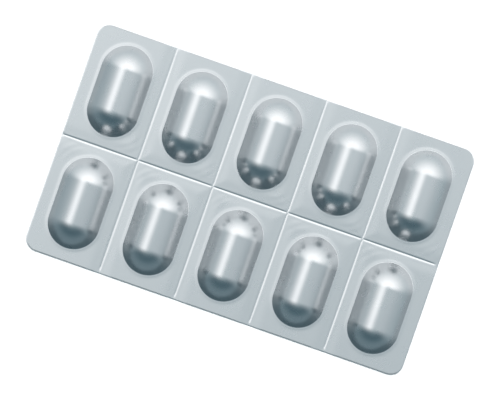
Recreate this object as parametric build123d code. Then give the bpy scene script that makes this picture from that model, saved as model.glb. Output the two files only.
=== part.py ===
from build123d import *

import os
from math import atan2, cos, degrees, radians, sin, tan

# Sealed blister pack of cold-formed aluminium laminate, with ten oblong pockets in two rows of five.
#
# The pack lies on its flat lidding foil with its pockets up. The origin is the middle of that
# foil's outer face, +X runs along the rows of five, +Y along a pocket's length and +Z up out of
# the domes. It is sealed all round and opaque, so it is one closed solid: the flange, the ten
# domes that rise from it, and the pressed score lines that part one cell from the next.
#
# Units are millimetres and degrees.

# Pockets
COLUMNS = 5
ROWS = 2
POCKET_LENGTH = 22.6  # mouth, along Y
POCKET_WIDTH = 12.7  # mouth, along X
POCKET_DEPTH = 5.1  # crown above the flange's face
WALL_SLOPE = 58  # steepest slope of the drawn wall, up from the flange
FOOT_RADIUS = 0.5  # where the wall of a dome turns out into the flange

# Sealed flange around the pockets
FLANGE_THICKNESS = 0.25  # formed laminate, knurled seal and lidding foil together
COLUMN_LAND = 6.2  # between the mouths of two pockets in one row
ROW_LAND = 5.7  # between the mouths of the two rows
END_MARGIN = 3.35  # from an outer mouth to the short edge
SIDE_MARGIN = 3.05  # from a mouth to the long edge
CORNER_RADIUS = 3.1
EDGE_ROLL = 0.1  # rounding that the cutting die leaves on the upper rim

# Score lines pressed into the flange
SCORE_WIDTH = 0.8
SCORE_DEPTH = 0.14
SCORE_FLOOR = 0.1  # width of the flat that the scoring rule leaves
BRIDGE = 1.0  # unscored stretch in the middle of each crossing

# Worked out from the sizes above
column_pitch = POCKET_WIDTH + COLUMN_LAND
row_pitch = POCKET_LENGTH + ROW_LAND
pack_length = COLUMNS * POCKET_WIDTH + (COLUMNS - 1) * COLUMN_LAND + 2 * END_MARGIN
pack_width = ROWS * POCKET_LENGTH + (ROWS - 1) * ROW_LAND + 2 * SIDE_MARGIN


def centred(count, pitch):
    """Places of count things, one pitch apart, about zero."""
    return [(i - (count - 1) / 2) * pitch for i in range(count)]


def flange():
    """Flat sealed sheet with round corners, its upper rim rolled over by the cutting die."""
    sheet = Box(
        pack_length, pack_width, FLANGE_THICKNESS, align=(Align.CENTER, Align.CENTER, Align.MIN)
    )
    sheet = fillet(sheet.edges().filter_by(Axis.Z), CORNER_RADIUS)
    return fillet(sheet.faces().sort_by(Axis.Z)[-1].edges(), EDGE_ROLL)


def pocket_section():
    """Half section of a dome in the XZ plane, from its axis out to where its foot meets the flange.

    The crown is an arc about the axis, which runs tangent into a straight wall. The wall would
    meet the flange's face at the mouth's edge, and the foot rounds off that inner corner.
    """
    slope = radians(WALL_SLOPE)
    mouth = POCKET_WIDTH / 2
    crown_radius = (mouth * tan(slope) - POCKET_DEPTH) / (1 / cos(slope) - 1)
    crown_z = FLANGE_THICKNESS + POCKET_DEPTH - crown_radius
    setback = FOOT_RADIUS * tan(slope / 2)
    top = (0, FLANGE_THICKNESS + POCKET_DEPTH)
    crown_end = (crown_radius * sin(slope), crown_z + crown_radius * cos(slope))
    wall_end = (mouth - setback * cos(slope), FLANGE_THICKNESS + setback * sin(slope))
    foot = (mouth + setback, FLANGE_THICKNESS)
    with BuildSketch(Plane.XZ) as section:
        with BuildLine():
            RadiusArc(top, crown_end, crown_radius)
            Line(crown_end, wall_end)
            RadiusArc(wall_end, foot, -FOOT_RADIUS)
            Polyline(foot, (foot[0], 0), (0, 0), top)
        make_face()
    return section.sketch


def pocket():
    """One dome down to the underside: half a turn of the section at each end, and a straight body."""
    straight = POCKET_LENGTH - POCKET_WIDTH
    section = pocket_section()
    far_end = Pos(0, straight / 2, 0) * revolve(section, Axis.Z, 180)
    near_end = Rot(0, 0, 180) * far_end
    body = extrude(section + mirror(section, Plane.YZ), straight / 2, both=True)
    return far_end + body + near_end


def score_cutter(length):
    """Scoring rule for a groove of this length along X: sloping sides and ends, narrow flat edge."""
    side = (SCORE_WIDTH - SCORE_FLOOR) / 2
    slope = degrees(atan2(side, SCORE_DEPTH))
    return Pos(0, 0, FLANGE_THICKNESS) * extrude(
        Rectangle(length, SCORE_WIDTH), -SCORE_DEPTH, taper=slope
    )


def score_lines():
    """Cutters for every groove. Each stops short of the crossings, and runs out over the edges."""
    overrun = SCORE_WIDTH
    columns = centred(COLUMNS - 1, column_pitch)
    rows = centred(ROWS - 1, row_pitch)
    cutters = []
    for lines, crossings, half, turn in (
        (rows, columns, pack_length / 2, 0),
        (columns, rows, pack_width / 2, 90),
    ):
        stops = [-half - overrun, *crossings, half + overrun]
        for low, high in zip(stops, stops[1:]):
            start = low + BRIDGE / 2 * (low in crossings)
            end = high - BRIDGE / 2 * (high in crossings)
            cutter = Pos((start + end) / 2, 0, 0) * score_cutter(end - start)
            for line in lines:
                place = Pos(0, line, 0) if turn == 0 else Pos(line, 0, 0)
                cutters.append(place * Rot(0, 0, turn) * cutter)
    return cutters


def blister_pack():
    """Whole pack as one closed solid."""
    dome = pocket()
    columns = centred(COLUMNS, column_pitch)
    rows = centred(ROWS, row_pitch)
    domes = [Pos(x, y, 0) * dome for x in columns for y in rows]
    return flange().fuse(*domes).cut(*score_lines())


os.makedirs("parts", exist_ok=True)
pack = blister_pack()
export_step(pack, "parts/blister_pack.step")
print(
    f"pack {pack_length:.2f} x {pack_width:.2f} x {FLANGE_THICKNESS + POCKET_DEPTH:.2f} mm,",
    f"{len(pack.solids())} solid, {pack.volume / 1000:.3f} cm3",
)
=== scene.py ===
"""Looks of a sealed aluminium blister pack: ten drawn pockets in cold-formed laminate, sealed to a
flat lidding foil. Lengths are metres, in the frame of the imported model: the pack lies on its
lidding foil at z = 0, its rows of five run along X and its pockets rise along Z.
"""

import math

import bmesh
import bpy
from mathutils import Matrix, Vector, noise


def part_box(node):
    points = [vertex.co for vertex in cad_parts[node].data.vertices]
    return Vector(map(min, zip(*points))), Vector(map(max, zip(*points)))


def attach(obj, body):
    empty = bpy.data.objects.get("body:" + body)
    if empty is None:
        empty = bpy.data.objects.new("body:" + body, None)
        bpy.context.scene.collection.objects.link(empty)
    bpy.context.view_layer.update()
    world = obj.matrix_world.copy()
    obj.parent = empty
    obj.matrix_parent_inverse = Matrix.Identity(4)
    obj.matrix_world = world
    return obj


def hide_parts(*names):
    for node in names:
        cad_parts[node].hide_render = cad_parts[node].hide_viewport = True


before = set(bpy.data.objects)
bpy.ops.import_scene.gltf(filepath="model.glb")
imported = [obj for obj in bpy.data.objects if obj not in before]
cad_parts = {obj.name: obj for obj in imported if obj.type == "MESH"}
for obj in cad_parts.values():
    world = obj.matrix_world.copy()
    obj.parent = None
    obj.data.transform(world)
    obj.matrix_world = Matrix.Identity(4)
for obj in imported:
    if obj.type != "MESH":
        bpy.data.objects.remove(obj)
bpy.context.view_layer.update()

bl_info = {
    "name": "Blister Pack Maker",
    "version": (1, 0, 0),
    "blender": (4, 5, 0),
    "location": "View3D > Sidebar > Blister Pack",
    "description": "Models a cold-formed aluminium blister pack, its lidding foil and a small studio",
    "category": "Add Mesh",
}

MM = 0.001
NODE = "blister_pack"
low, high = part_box(NODE)

# Insets of the rings of vertices beside a score line, from the pocket outwards.
SCORE_RINGS = (0.65 * MM, 0.48 * MM, 0.34 * MM, 0.22 * MM, 0.1 * MM, 0)
# Rings of the rolled rim: distance in from the die-cut edge, and share of the roll.
RIM_RINGS = ((0.24 * MM, 0), (0.1 * MM, 0.15), (0.03 * MM, 0.4), (0, 0.7))


def linear(hex_colour):
    """Linear RGB of an sRGB hex colour such as #C0C4C7."""
    parts = [int(hex_colour[i : i + 2], 16) / 255 for i in (1, 3, 5)]
    return [v / 12.92 if v <= 0.04045 else ((v + 0.055) / 1.055) ** 2.4 for v in parts]


def length(name, default, description):
    """A length that a user may change."""
    return bpy.props.FloatProperty(
        name=name, default=default, description=description, min=0, precision=5, unit="LENGTH"
    )


def angle(name, default, description):
    """An angle that a user may change, given here in degrees."""
    return bpy.props.FloatProperty(
        name=name, default=math.radians(default), description=description, subtype="ANGLE"
    )


def colour(name, default, description):
    """A colour that a user may change, given here as sRGB hex."""
    return bpy.props.FloatVectorProperty(
        name=name, default=linear(default), description=description, subtype="COLOR", min=0, max=1
    )


def ratio(name, default, description):
    """A share from nothing to all."""
    return bpy.props.FloatProperty(
        name=name, default=default, description=description, min=0, max=1, subtype="FACTOR"
    )


class PackSizes(bpy.types.PropertyGroup):
    """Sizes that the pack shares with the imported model."""

    columns: bpy.props.IntProperty(name="Columns", default=5, description="Pockets in a row")
    rows: bpy.props.IntProperty(name="Rows", default=2, description="Rows of pockets")
    pocket_length: length("Pocket length", 22.6 * MM, "Mouth of a pocket along Y")
    pocket_width: length("Pocket width", 12.7 * MM, "Mouth of a pocket along X")
    column_land: length("Column land", 6.2 * MM, "Flange between two mouths of one row")
    row_land: length("Row land", 5.7 * MM, "Flange between the mouths of two rows")
    flange: length("Flange", 0.25 * MM, "Laminate, seal and lidding foil together")
    lid: length("Lid", 0.05 * MM, "Lidding foil with its heat-seal lacquer")
    corner: length("Corner", 3.1 * MM, "Corner radius of the die-cut outline")
    wall_slope: angle("Wall slope", 58, "Steepest slope of a drawn wall")


class FoilRelief(bpy.types.PropertyGroup):
    """What forming, sealing and scoring leave in the foil."""

    foot: length("Foot", 0.25 * MM, "Width over which a wall turns out into the flange")
    swell: length("Swell", 0.75 * MM, "Unsealed ring that swells round a mouth")
    swell_slope: angle("Swell slope", 3.5, "Slope of the swelling ring")
    score_reach: length("Score reach", 0.5 * MM, "Half width of a score line")
    score_depth: length("Score depth", 0.13 * MM, "Depth of a score line")
    quilt_reach: length("Quilt reach", 3.0 * MM, "How far the flange dips towards a score line")
    quilt_depth: length("Quilt depth", 0.07 * MM, "How deep the flange dips there")
    wrinkle: length("Wrinkle", 0.008 * MM, "Height of the wrinkles round a pocket's corner")
    wrinkle_pitch: length("Wrinkle pitch", 1.6 * MM, "Distance from one wrinkle to the next")
    edge_roll: length("Edge roll", 0.06 * MM, "How far the die rolls the rim down")


class FoilFinish(bpy.types.PropertyGroup):
    """Colours and gloss of the foils."""

    laminate: colour("Laminate", "#CDD0D2", "Aluminium under its clear polyamide film")
    lid: colour("Lidding foil", "#D3D6D8", "Hard aluminium under a thin clear primer")
    flange_gloss: ratio("Flange roughness", 0.28, "Roughness of the sealed flange")
    dome_gloss: ratio("Dome roughness", 0.25, "Roughness of the drawn domes")
    grain: length("Grain", 0.12 * MM, "Width of the rolling grain")
    knurl: length("Knurl", 0.7 * MM, "Pitch of the sealing knurl on the lid")


class StudioSetup(bpy.types.PropertyGroup):
    """Floor, lights and camera."""

    floor: length("Floor", 3.0, "Side of the floor")
    distance: length("Camera distance", 0.65, "Camera above the flange")
    view_width: length("View width", 118.3 * MM, "What the camera sees across at the flange")
    shift_right: length("Shift right", 0.49 * MM, "Pack right of the picture's middle")
    shift_up: length("Shift up", 0.09 * MM, "Pack above the picture's middle")
    turn: angle("Turn", 19.3, "Pack turned clockwise in the picture")
    surround: bpy.props.FloatProperty(
        name="Surround", default=1.56, description="Strength of the studio's surround", min=0
    )
    lamp: bpy.props.FloatProperty(
        name="Lamp", default=2.6, description="Strength of the soft light on the floor", min=0
    )


def sizes():
    """Sizes of the pack."""
    return bpy.context.scene.pack_sizes


def relief():
    """What forming, sealing and scoring leave."""
    return bpy.context.scene.foil_relief


def finish():
    """Colours and gloss."""
    return bpy.context.scene.foil_finish


def centred(count, pitch):
    """Places of count things, one pitch apart, about zero."""
    return [(i - (count - 1) / 2) * pitch for i in range(count)]


def pitches():
    """Distance from one pocket to the next along X and along Y."""
    size = sizes()
    return size.pocket_width + size.column_land, size.pocket_length + size.row_land


def straight():
    """Length of a pocket's straight body, between its round ends."""
    return sizes().pocket_length - sizes().pocket_width


def smooth(t):
    """Goes gently from 0 to 1 as t does."""
    t = min(max(t, 0), 1)
    return t * t * (3 - 2 * t)


# --- Modelling by hand: small steps on the mesh in edit mode ------------------------------------


def start_piece(name):
    """New mesh object with a single vertex at the origin, open in edit mode."""
    bpy.ops.object.select_all(action="DESELECT")
    bpy.ops.mesh.primitive_plane_add(size=MM, location=(0, 0, 0))
    piece = bpy.context.object
    piece.name = piece.data.name = name
    bpy.ops.object.mode_set(mode="EDIT")
    bpy.ops.mesh.select_mode(type="VERT")
    bpy.ops.mesh.select_all(action="SELECT")
    bpy.ops.mesh.merge(type="CENTER")
    return piece


def pick(piece, test):
    """Selects just the vertices that the test accepts, with the edges and faces between them."""
    mesh = bmesh.from_edit_mesh(piece.data)
    for part in (mesh.faces, mesh.edges, mesh.verts):
        for element in part:
            element.select = False
    for vertex in mesh.verts:
        if test(vertex):
            vertex.select = True
    mesh.select_flush_mode()
    bmesh.update_edit_mesh(piece.data)


def pick_rim(piece):
    """Selects the open rim of a sheet."""
    mesh = bmesh.from_edit_mesh(piece.data)
    bpy.ops.mesh.select_all(action="DESELECT")
    bpy.ops.mesh.select_mode(type="EDGE")
    for edge in mesh.edges:
        edge.select = edge.is_boundary
    mesh.select_flush_mode()
    bmesh.update_edit_mesh(piece.data)


def reshape(piece, move):
    """Moves every vertex to where the function puts it."""
    mesh = bmesh.from_edit_mesh(piece.data)
    for vertex in mesh.verts:
        vertex.co = move(vertex.co)
    bmesh.update_edit_mesh(piece.data)


def merge_doubles():
    """Joins vertices that lie on each other."""
    bpy.ops.mesh.select_all(action="SELECT")
    bpy.ops.mesh.remove_doubles(threshold=0.002 * MM)


def near(value, target, reach=0.002 * MM):
    """Whether a value is within reach of a target."""
    return abs(value - target) < reach


def draw_section(piece, points):
    """Draws a chain of edges through points given as distance from the axis and height."""
    x, z = points[0]
    bpy.ops.mesh.select_all(action="SELECT")
    bpy.ops.transform.translate(value=(x, straight() / 2, z))
    for next_x, next_z in points[1:]:
        bpy.ops.mesh.extrude_region_move(
            TRANSFORM_OT_translate={"value": (next_x - x, 0, next_z - z)}
        )
        x, z = next_x, next_z


def sweep_pocket(piece, arc_steps, side_steps):
    """Sweeps the drawn section round a pocket: half a turn, along the body, and half a turn."""
    half = straight() / 2
    bpy.ops.mesh.select_all(action="SELECT")
    bpy.ops.mesh.spin(steps=arc_steps, angle=-math.pi, center=(0, half, 0), axis=(0, 0, 1))
    merge_doubles()
    pick(piece, lambda vertex: near(vertex.co.y, half))
    for _ in range(side_steps):
        bpy.ops.mesh.extrude_region_move(
            TRANSFORM_OT_translate={"value": (0, -2 * half / side_steps, 0)}
        )
    pick(piece, lambda vertex: near(vertex.co.y, -half) and vertex.co.x > -0.002 * MM)
    bpy.ops.mesh.spin(steps=arc_steps, angle=math.pi, center=(0, -half, 0), axis=(0, 0, 1))
    merge_doubles()


def frame_cell(piece, inset, rings):
    """Extrudes the pocket's outline ring by ring out to the straight frame of its cell.

    The frame's corners are at 45 degrees on the round ends, and its vertices crowd towards them,
    because the score lines cross there.
    """
    across, along = pitches()
    half_x, half_y = across / 2 - inset, along / 2 - inset
    end = straight() / 2

    def crowd(share):
        return 0.4 * share + 0.6 * math.sin(share * math.pi / 2)

    def on_frame(place):
        past = max(abs(place.y) - end, 0)
        turn = math.degrees(math.atan2(past, abs(place.x))) / 45
        if turn <= 1:
            x, y = half_x, abs(place.y) if past == 0 else end + (half_y - end) * crowd(turn)
        else:
            x, y = half_x * crowd(2 - turn), half_y
        return Vector((math.copysign(x, place.x), math.copysign(y, place.y), place.z))

    pick_rim(piece)
    mesh = bmesh.from_edit_mesh(piece.data)
    starts = [vertex.co.copy() for vertex in mesh.verts if vertex.select]
    targets = [on_frame(start) for start in starts]
    for ring in range(1, rings + 1):
        pick_rim(piece)
        bpy.ops.mesh.extrude_region_move(TRANSFORM_OT_translate={"value": (0, 0, 0)})
        mesh = bmesh.from_edit_mesh(piece.data)
        before, now = (ring - 1) / rings, ring / rings
        places = [start.lerp(target, before) for start, target in zip(starts, targets)]
        for vertex in (vertex for vertex in mesh.verts if vertex.select):
            index = min(range(len(places)), key=lambda i: (places[i] - vertex.co).length_squared)
            vertex.co = starts[index].lerp(targets[index], now)
        bmesh.update_edit_mesh(piece.data)


def widen(piece, wide, long, new_wide, new_long, drop=0):
    """Extrudes the open rim and scales it to a new width and length."""
    pick_rim(piece)
    bpy.ops.mesh.extrude_region_move(TRANSFORM_OT_translate={"value": (0, 0, -drop)})
    bpy.ops.transform.resize(
        value=(new_wide / wide, new_long / long, 1), center_override=(0, 0, 0)
    )


def repeat_cell(piece):
    """Copies the cell into rows and columns, joined along their frames, about the origin."""
    size = sizes()
    across, along = pitches()
    bpy.ops.object.mode_set(mode="OBJECT")
    for count, step in ((size.columns, (across, 0, 0)), (size.rows, (0, along, 0))):
        bpy.ops.object.modifier_add(type="ARRAY")
        array = piece.modifiers[-1]
        array.count = count
        array.use_relative_offset = False
        array.use_constant_offset = True
        array.constant_offset_displace = step
        array.use_merge_vertices = True
        array.merge_threshold = 0.002 * MM
        bpy.ops.object.modifier_apply(modifier=array.name)
    bpy.ops.object.mode_set(mode="EDIT")
    bpy.ops.mesh.select_all(action="SELECT")
    shift = (-(size.columns - 1) * across / 2, -(size.rows - 1) * along / 2, 0)
    bpy.ops.transform.translate(value=shift)


def round_corners(piece, half_x, half_y, radius):
    """Bends the square corners of the sheet, and the rings inside them, to arcs."""

    def bend(place):
        centre = Vector((half_x - radius, half_y - radius))
        out = Vector((abs(place.x), abs(place.y))) - centre
        if out.x <= 0 or out.y <= 0:
            return place
        out = out * (max(out) / out.length)
        x = math.copysign(centre.x + out.x, place.x)
        y = math.copysign(centre.y + out.y, place.y)
        return Vector((x, y, place.z))

    reshape(piece, bend)


def close_flat(piece, height):
    """Turns the open rim to the given height and closes it there with one flat face."""
    pick_rim(piece)
    bpy.ops.mesh.extrude_region_move(TRANSFORM_OT_translate={"value": (0, 0, 0)})
    bpy.ops.transform.resize(value=(1, 1, 0), center_override=(0, 0, height))
    bpy.ops.mesh.edge_face_add()
    merge_doubles()
    bpy.ops.mesh.normals_make_consistent(inside=False)


def pocket_distance(x, y):
    """Distance from the mouth of the nearest pocket, negative inside, with that pocket's middle."""
    size = sizes()
    across, along = pitches()
    column = min(max(round(x / across + (size.columns - 1) / 2), 0), size.columns - 1)
    row = min(max(round(y / along + (size.rows - 1) / 2), 0), size.rows - 1)
    middle_x = (column - (size.columns - 1) / 2) * across
    middle_y = (row - (size.rows - 1) / 2) * along
    out_x = x - middle_x
    out_y = y - middle_y
    end_y = math.copysign(max(abs(out_y) - straight() / 2, 0), out_y)
    return math.hypot(out_x, end_y) - size.pocket_width / 2, out_x, end_y, column, row


# --- Formed laminate ----------------------------------------------------------------------------


def laminate_section():
    """Section of a drawn dome from the flange inwards to its axis: distances and heights.

    The slope of the foil grows evenly from the crown, levels off at the wall's slope, dies out
    over the foot and ends in the faint swelling of the unsealed ring.
    """
    size, mark = sizes(), relief()
    mouth = size.pocket_width / 2
    depth = high.z - size.flange
    steep = size.wall_slope
    crown = (mouth * math.tan(steep) - depth) / (1 / math.cos(steep) - 1)

    def slope(distance):
        past = (distance - mouth) / mark.swell
        swell = math.tan(mark.swell_slope) * math.sin(math.pi * min(max(past, 0), 1)) ** 0.8
        if distance >= mouth:
            return swell
        even = max(distance, 0.001 * MM) / (0.965 * crown)
        wall = math.tan((even**-5 + steep**-5) ** (-1 / 5))
        return wall * smooth((mouth - distance) / mark.foot)

    outer = mouth + 1.6 * MM
    places = [outer, outer - 0.4 * MM]
    places += [mouth + mark.swell * (1 - i / 6) for i in range(7)]
    places += [mouth - mark.foot * i / 5 for i in range(1, 6)]
    inside = mouth - mark.foot
    places += [inside * (1 - (i / 20)) ** 0.9 for i in range(1, 20)]
    places += [0]
    steps = 12
    points = [(outer, size.flange)]
    for start, end in zip(places, places[1:]):
        rise = sum(slope(start + (end - start) * (i + 0.5) / steps) for i in range(steps))
        points.append((end, points[-1][1] + rise * (start - end) / steps))
    stretch = depth / (points[-1][1] - size.flange)
    return [(x, size.flange + (z - size.flange) * stretch) for x, z in points]


def press(piece, test, depth, reach, falloff):
    """Presses the picked vertices down and lets the foil around them follow."""
    pick(piece, test)
    bpy.ops.transform.translate(
        value=(0, 0, -depth),
        use_proportional_edit=True,
        proportional_edit_falloff=falloff,
        proportional_size=reach,
    )


def press_score_lines(piece):
    """Presses the score lines, which leave a bridge at each crossing, and quilts the flange."""
    size, mark = sizes(), relief()
    across, along = pitches()
    columns = centred(size.columns - 1, across)
    rows = centred(size.rows - 1, along)

    def on_line(vertex):
        place = vertex.co
        return any(near(place.x, x) for x in columns) or any(near(place.y, y) for y in rows)

    def scored(vertex):
        place = vertex.co
        crossing = min(math.hypot(place.x - x, place.y - y) for x in columns for y in rows)
        return on_line(vertex) and crossing > 0.3 * MM and not beyond_score(place)

    def beyond_score(place):
        faded = 0.9 * MM
        return place.x > high.x - faded or place.y < low.y + faded

    press(piece, on_line, mark.quilt_depth, mark.quilt_reach, "SMOOTH")
    press(piece, scored, mark.score_depth, mark.score_reach, "SHARP")


def wrinkle_flange(piece):
    """Wrinkles round the pockets, in the corners that the score lines pinch."""
    mark = relief()
    size = sizes()

    def move(place):
        distance, out_x, end_y, column, row = pocket_distance(place.x, place.y)
        if place.z > size.flange * 1.6 or distance < 0.8 * MM:
            return place
        towards = math.degrees(math.atan2(end_y, out_x))
        pinched = 135 if row == 0 else -45
        turn = (towards - pinched + 180) % 360 - 180
        reach = 26 + 14 * noise.noise(Vector((column * 3.1, row * 7.7, 0.5)))
        share = smooth(1 - abs(turn) / reach)
        share *= smooth((distance - 0.8 * MM) / MM) * smooth((6 * MM - distance) / (2 * MM))
        phase = distance / mark.wrinkle_pitch + 0.6 * noise.noise(place * 160)
        lift = mark.wrinkle * share * math.sin(2 * math.pi * phase)
        return place + Vector((0, 0, lift))

    reshape(piece, move)


class OBJECT_OT_formed_laminate(bpy.types.Operator):
    """Model the cold-formed laminate with its domes, flange and score lines"""

    bl_idname = "object.add_formed_laminate"
    bl_label = "Formed Laminate"
    bl_options = {"REGISTER", "UNDO"}

    def execute(self, context):
        size, mark = sizes(), relief()
        across, along = pitches()
        piece = start_piece("formed_laminate")
        draw_section(piece, laminate_section())
        sweep_pocket(piece, arc_steps=44, side_steps=20)
        inset = 0.9 * MM
        frame_cell(piece, inset, rings=9)
        for step in SCORE_RINGS:
            wide = across - 2 * inset
            long = along - 2 * inset
            inset = step
            widen(piece, wide, long, across - 2 * inset, along - 2 * inset)
        repeat_cell(piece)
        press_score_lines(piece)
        wide, long = across * size.columns, along * size.rows
        full_wide, full_long = high.x - low.x, high.y - low.y
        for margin, share in RIM_RINGS:
            new_wide = full_wide - 2 * margin
            new_long = full_long - 2 * margin
            widen(piece, wide, long, new_wide, new_long, share * mark.edge_roll)
            wide, long = new_wide, new_long
        round_corners(piece, full_wide / 2, full_long / 2, size.corner)
        wrinkle_flange(piece)
        lowest = size.lid + 0.03 * MM
        reshape(piece, lambda place: Vector((place.x, place.y, max(place.z, lowest))))
        close_flat(piece, size.lid)
        bpy.ops.object.mode_set(mode="OBJECT")
        bpy.ops.object.shade_smooth_by_angle(angle=math.radians(35))
        piece.data.materials.append(laminate_material())
        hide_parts(NODE)
        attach(piece, "root")
        return {"FINISHED"}


# --- Lidding foil -------------------------------------------------------------------------------


class OBJECT_OT_lidding_foil(bpy.types.Operator):
    """Model the flat lidding foil, which dishes a little over each pocket"""

    bl_idname = "object.add_lidding_foil"
    bl_label = "Lidding Foil"
    bl_options = {"REGISTER", "UNDO"}

    def execute(self, context):
        size = sizes()
        wide, long = high.x - low.x, high.y - low.y
        bpy.ops.object.select_all(action="DESELECT")
        bpy.ops.mesh.primitive_grid_add(x_subdivisions=190, y_subdivisions=114, size=1)
        piece = context.object
        piece.name = piece.data.name = "lidding_foil"
        bpy.ops.object.mode_set(mode="EDIT")
        bpy.ops.mesh.select_all(action="SELECT")
        bpy.ops.transform.resize(value=(wide, long, 1), center_override=(0, 0, 0))
        round_corners(piece, wide / 2, long / 2, size.corner)
        bpy.ops.mesh.select_all(action="SELECT")
        bpy.ops.mesh.extrude_region_move(TRANSFORM_OT_translate={"value": (0, 0, size.lid)})
        reshape(piece, self.dish)
        bpy.ops.mesh.select_all(action="SELECT")
        bpy.ops.mesh.normals_make_consistent(inside=False)
        bpy.ops.object.mode_set(mode="OBJECT")
        bpy.ops.object.shade_smooth_by_angle(angle=math.radians(35))
        sealed = piece.data.attributes.new("sealed", "FLOAT", "POINT")
        for vertex, value in zip(piece.data.vertices, sealed.data):
            value.value = smooth(pocket_distance(vertex.co.x, vertex.co.y)[0] / (0.6 * MM))
        piece.data.materials.append(lid_material())
        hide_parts(NODE)
        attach(piece, "root")
        return {"FINISHED"}

    def dish(self, place):
        """Lifts the outer face a little over a pocket, where no land presses the foil flat."""
        if place.z > 0.01 * MM:
            return place
        inside = -pocket_distance(place.x, place.y)[0]
        return place + Vector((0, 0, 0.025 * MM * smooth(inside / (2 * MM))))


# --- Materials ----------------------------------------------------------------------------------


def add_node(tree, kind, settings=None, **links):
    """Adds a shader node, sets its fields and inputs, and links inputs to other nodes' outputs."""
    node = tree.nodes.new(kind)
    for name, value in (settings or {}).items():
        if hasattr(node, name):
            setattr(node, name, value)
        else:
            node.inputs[name].default_value = value
    for name, source in links.items():
        key = int(name[1:]) if name[1:].isdigit() else name.replace("_", " ")
        socket = node.inputs[key]
        tree.links.new(source, socket)
    return node


def new_material(name):
    """New node material, with its tree and its Principled shader."""
    material = bpy.data.materials.new(name)
    material.use_nodes = True
    return material, material.node_tree, material.node_tree.nodes["Principled BSDF"]


def laminate_material():
    """Cold-formed laminate: soft aluminium, rolled and then drawn, under a clear glossy film.

    The film gives a faint even coat over a satin metal. Rolling leaves fine lines along X, and
    drawing stretches the metal over each dome, which dulls it in soft patches a few mm wide.
    """
    look = finish()
    material, tree, shader = new_material("cold_formed_aluminium_laminate")
    shader.inputs["Metallic"].default_value = 1
    shader.inputs["Coat Weight"].default_value = 0.15
    shader.inputs["Coat Roughness"].default_value = 0.1
    place = add_node(tree, "ShaderNodeTexCoord").outputs["Object"]
    # Patches where the drawing has dulled the foil: about 4 mm across.
    patches = noise_pattern(tree, place, (1, 1, 1), 4 * MM, 2)
    gloss = add_node(
        tree,
        "ShaderNodeMapRange",
        {"To Min": look.dome_gloss, "To Max": look.flange_gloss + 0.03},
        Value=patches,
    )
    tree.links.new(gloss.outputs[0], shader.inputs["Roughness"])
    # The same metal seen through a film that is a little thicker here and thinner there.
    tint = add_node(tree, "ShaderNodeMix", {"data_type": "RGBA"}, i0=patches)
    tint.inputs[6].default_value = (*look.laminate, 1)
    tint.inputs[7].default_value = (*[0.97 * part for part in look.laminate], 1)
    tree.links.new(tint.outputs[2], shader.inputs["Base Color"])
    # Rolling grain: real lines are about 0.02 mm apart, drawn 0.12 mm apart so that they show.
    grain = noise_pattern(tree, place, (0.06, 1, 1), look.grain, 2)
    bump = add_node(tree, "ShaderNodeBump", {"Strength": 0.12, "Distance": 0.004 * MM}, Height=grain)
    tree.links.new(bump.outputs[0], shader.inputs["Normal"])
    return material


def lid_material():
    """Hard-temper lidding foil: bright rolled aluminium that the sealing tool has knurled.

    The tool's fine raised points break the mirror up into sparkle where the foil is sealed, and
    the foil over a pocket stays smooth. The points stand 0.7 mm apart in a square, turned 45 degrees.
    """
    look = finish()
    material, tree, shader = new_material("hard_temper_lidding_foil")
    shader.inputs["Metallic"].default_value = 1
    shader.inputs["Coat Weight"].default_value = 0.1
    shader.inputs["Coat Roughness"].default_value = 0.15
    place = add_node(tree, "ShaderNodeTexCoord").outputs["Object"]
    turned = add_node(
        tree, "ShaderNodeMapping", {"Rotation": (0, 0, math.radians(45))}, Vector=place
    ).outputs[0]
    part = add_node(tree, "ShaderNodeSeparateXYZ", Vector=turned)
    waves = []
    for axis in part.outputs[:2]:
        turns = add_node(tree, "ShaderNodeMath", {"operation": "MULTIPLY"}, i0=axis)
        turns.inputs[1].default_value = 2 * math.pi / look.knurl
        wave = add_node(tree, "ShaderNodeMath", {"operation": "SINE"}, i0=turns.outputs[0])
        waves.append(wave.outputs[0])
    points = add_node(tree, "ShaderNodeMath", {"operation": "MULTIPLY"}, i0=waves[0], i1=waves[1])
    sealed = add_node(tree, "ShaderNodeAttribute", {"attribute_name": "sealed"})
    knurl = add_node(
        tree,
        "ShaderNodeMath",
        {"operation": "MULTIPLY"},
        i0=points.outputs[0],
        i1=sealed.outputs["Fac"],
    )
    bump = add_node(
        tree, "ShaderNodeBump", {"Strength": 0.6, "Distance": 0.03 * MM}, Height=knurl.outputs[0]
    )
    tree.links.new(bump.outputs[0], shader.inputs["Normal"])
    # Rolling leaves faint bright and dull bands along X, about 1.5 mm apart.
    bands = noise_pattern(tree, place, (0.05, 1, 1), 1.5 * MM, 2)
    gloss = add_node(tree, "ShaderNodeMapRange", {"To Min": 0.22, "To Max": 0.34}, Value=bands)
    tree.links.new(gloss.outputs[0], shader.inputs["Roughness"])
    # Painted shade: the colour darkens to 0.72 of the foil's own in the knurl's hollows and is full
    # on its points, following the knurl's height; over a pocket it stays halfway between the two.
    painted_knurl_shade = add_node(
        tree, "ShaderNodeMapRange", {"From Min": -1, "From Max": 1}, Value=knurl.outputs[0]
    )
    tint = add_node(tree, "ShaderNodeMix", {"data_type": "RGBA"}, i0=painted_knurl_shade.outputs[0])
    # Painted shade in the knurl's hollows.
    tint.inputs[6].default_value = (*[0.72 * channel for channel in look.lid], 1)
    tint.inputs[7].default_value = (*look.lid, 1)
    tree.links.new(tint.outputs[2], shader.inputs["Base Color"])
    return material


def noise_pattern(tree, place, stretch, width, detail):
    """Soft noise whose patches are about the given width, drawn out where a stretch is under 1."""
    mapped = add_node(tree, "ShaderNodeMapping", {"Scale": stretch}, Vector=place).outputs[0]
    return add_node(
        tree, "ShaderNodeTexNoise", {"Scale": 1 / width, "Detail": detail}, Vector=mapped
    ).outputs[0]


# --- Studio -------------------------------------------------------------------------------------


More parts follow.
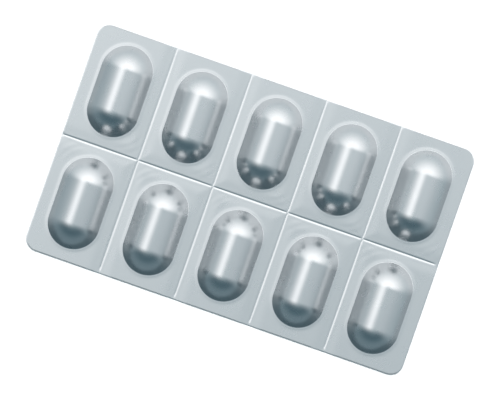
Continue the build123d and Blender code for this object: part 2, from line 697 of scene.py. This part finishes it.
def studio_world():
    """Surround that the foil mirrors: bright above and beyond, grey to the sides, dark in front."""
    world = bpy.data.worlds.new("studio_surround")
    world.use_nodes = True
    tree = world.node_tree
    tree.nodes.clear()
    ray = add_node(tree, "ShaderNodeTexCoord")
    part = add_node(tree, "ShaderNodeSeparateXYZ", Vector=ray.outputs["Generated"])
    degrees = 180 / math.pi

    def maths(operation, first, second=None, third=None):
        node = add_node(tree, "ShaderNodeMath", {"operation": operation})
        for socket, value in zip(node.inputs, (first, second, third)):
            if isinstance(value, (int, float)):
                socket.default_value = value
            elif value is not None:
                tree.links.new(value, socket)
        return node.outputs[0]

    def ramp(value, stops, span):
        """Colours at angles in degrees, over the span from its lowest to its highest angle."""
        lowest, highest = span
        share = maths("MULTIPLY_ADD", value, 1 / (highest - lowest), -lowest / (highest - lowest))
        node = add_node(tree, "ShaderNodeValToRGB", i0=share)
        elements = node.color_ramp.elements
        while len(elements) < len(stops):
            elements.new(0.5)
        for element, (at, shade) in zip(elements, stops):
            element.position = (at - lowest) / (highest - lowest)
            element.color = (*shade, 1)
        return node.outputs[0]

    def step(value, start, end):
        return add_node(
            tree,
            "ShaderNodeMapRange",
            {"interpolation_type": "SMOOTHSTEP", "From Min": start, "From Max": end},
            Value=value,
        ).outputs[0]

    def blend(share, first, second):
        node = add_node(tree, "ShaderNodeMix", {"data_type": "RGBA"}, i0=share, i6=first)
        if isinstance(second, tuple):
            node.inputs[7].default_value = second
        else:
            tree.links.new(second, node.inputs[7])
        return node.outputs[2]

    x, y, z = part.outputs
    sideways = maths("MULTIPLY", maths("ARCTAN2", x, z), degrees)
    beyond = maths("MULTIPLY", maths("ARCSINE", y), degrees)
    from_top = maths("MULTIPLY", maths("ARCCOSINE", z), degrees)
    side_stops = [
        (-130, 140), (-112, 156), (-96, 162), (-80, 172), (-64, 188), (-52, 216), (-42, 248),
        (-29, 280), (-15, 252), (-6, 212), (4, 178), (18, 176), (46, 184), (60, 184), (76, 178),
        (92, 176), (112, 158), (128, 140),
    ]
    beyond_stops = [
        (0, 196), (8, 226), (18, 276), (34, 274), (50, 258), (68, 238),
        (88, 212), (112, 186), (130, 165),
    ]
    front_stops = [
        (0, 160), (18, 150), (32, 110), (56, 88), (74, 98), (92, 120), (120, 124),
    ]
    body = ramp(sideways, [(a, shade(v)) for a, v in side_stops], (-180, 180))
    head = ramp(from_top, [(a, shade(v)) for a, v in beyond_stops], (0, 180))
    dark = ramp(from_top, [(a, shade(v)) for a, v in front_stops], (0, 180))
    colour = blend(step(beyond, -3, 22), body, head)
    colour = blend(step(maths("MULTIPLY", beyond, -1), -8, 34), colour, dark)
    strength = bpy.context.scene.studio_setup.surround
    seen = add_node(tree, "ShaderNodeLightPath")
    pale = 1 / strength
    colour = blend(seen.outputs["Is Camera Ray"], colour, (pale, pale, pale, 1))
    glow = add_node(tree, "ShaderNodeBackground", {"Strength": strength}, Color=colour)
    out = add_node(tree, "ShaderNodeOutputWorld")
    tree.links.new(glow.outputs[0], out.inputs[0])
    return world


def shade(level):
    """Neutral in the lights and a little blue-green in the darks; over 255 is a lamp's glow."""
    kept = min(level, 255)
    depth = 1 - kept / 255
    red = max(kept - 34 * depth, 0)
    blue = min(kept + 13 * depth, 255)
    glow = (level / kept) ** 2.2
    hex_colour = "#%02X%02X%02X" % (round(red), round(kept), round(blue))
    return [channel * glow for channel in linear(hex_colour)]


class SCENE_OT_foil_studio(bpy.types.Operator):
    """Set up the pale floor, the soft lights and the camera above the pack"""

    bl_idname = "scene.add_foil_studio"
    bl_label = "Studio"
    bl_options = {"REGISTER", "UNDO"}

    def execute(self, context):
        scene = context.scene
        setup = scene.studio_setup
        bpy.ops.object.select_all(action="DESELECT")
        # A hair under the lidding foil, so that the two never lie in one plane.
        bpy.ops.mesh.primitive_plane_add(size=setup.floor, location=(0, 0, -0.02 * MM))
        floor = context.object
        floor.name = "floor"
        material, tree, shader = new_material("matte_white_card")
        shader.inputs["Base Color"].default_value = (*linear("#F4F4F4"), 1)
        shader.inputs["Roughness"].default_value = 0.9
        shader.inputs["Specular IOR Level"].default_value = 0
        floor.data.materials.append(material)
        floor.visible_glossy = False
        scene.world = studio_world()
        lamp = bpy.data.lights.new("floor_light", "SUN")
        lamp.energy = setup.lamp
        lamp.angle = math.radians(40)
        holder = bpy.data.objects.new("floor_light", lamp)
        holder.rotation_euler = (math.radians(-38), math.radians(-38), 0)
        holder.visible_glossy = False
        scene.collection.objects.link(holder)
        self.add_camera(scene, setup)
        scene.view_settings.view_transform = "Standard"
        scene.cycles.use_denoising = True
        return {"FINISHED"}

    def add_camera(self, scene, setup):
        camera = bpy.data.cameras.new("camera")
        camera.lens = camera.sensor_width * setup.distance / setup.view_width
        camera.clip_end = 10
        holder = bpy.data.objects.new("camera", camera)
        right = Vector((math.cos(setup.turn), math.sin(setup.turn), 0))
        up = Vector((-right.y, right.x, 0))
        place = -right * setup.shift_right - up * setup.shift_up
        place.z = sizes().flange + setup.distance
        holder.location = place
        holder.rotation_euler = (0, 0, setup.turn)
        scene.collection.objects.link(holder)
        scene.camera = holder


class VIEW3D_PT_blister_pack(bpy.types.Panel):
    """Buttons for the pack's pieces and the studio"""

    bl_label = "Blister Pack"
    bl_space_type = "VIEW_3D"
    bl_region_type = "UI"
    bl_category = "Blister Pack"

    def draw(self, context):
        for operator in OPERATORS:
            self.layout.operator(operator.bl_idname)


SETTINGS = {
    "pack_sizes": PackSizes,
    "foil_relief": FoilRelief,
    "foil_finish": FoilFinish,
    "studio_setup": StudioSetup,
}
OPERATORS = (OBJECT_OT_formed_laminate, OBJECT_OT_lidding_foil, SCENE_OT_foil_studio)


def register():
    for item in (*SETTINGS.values(), *OPERATORS, VIEW3D_PT_blister_pack):
        bpy.utils.register_class(item)
    for name, group in SETTINGS.items():
        setattr(bpy.types.Scene, name, bpy.props.PointerProperty(type=group))


def unregister():
    for name in SETTINGS:
        delattr(bpy.types.Scene, name)
    for item in (VIEW3D_PT_blister_pack, *reversed(OPERATORS), *reversed(SETTINGS.values())):
        bpy.utils.unregister_class(item)


def main():
    register()
    bpy.ops.object.add_formed_laminate()
    bpy.ops.object.add_lidding_foil()
    bpy.ops.scene.add_foil_studio()


if __name__ == "__main__":
    main()
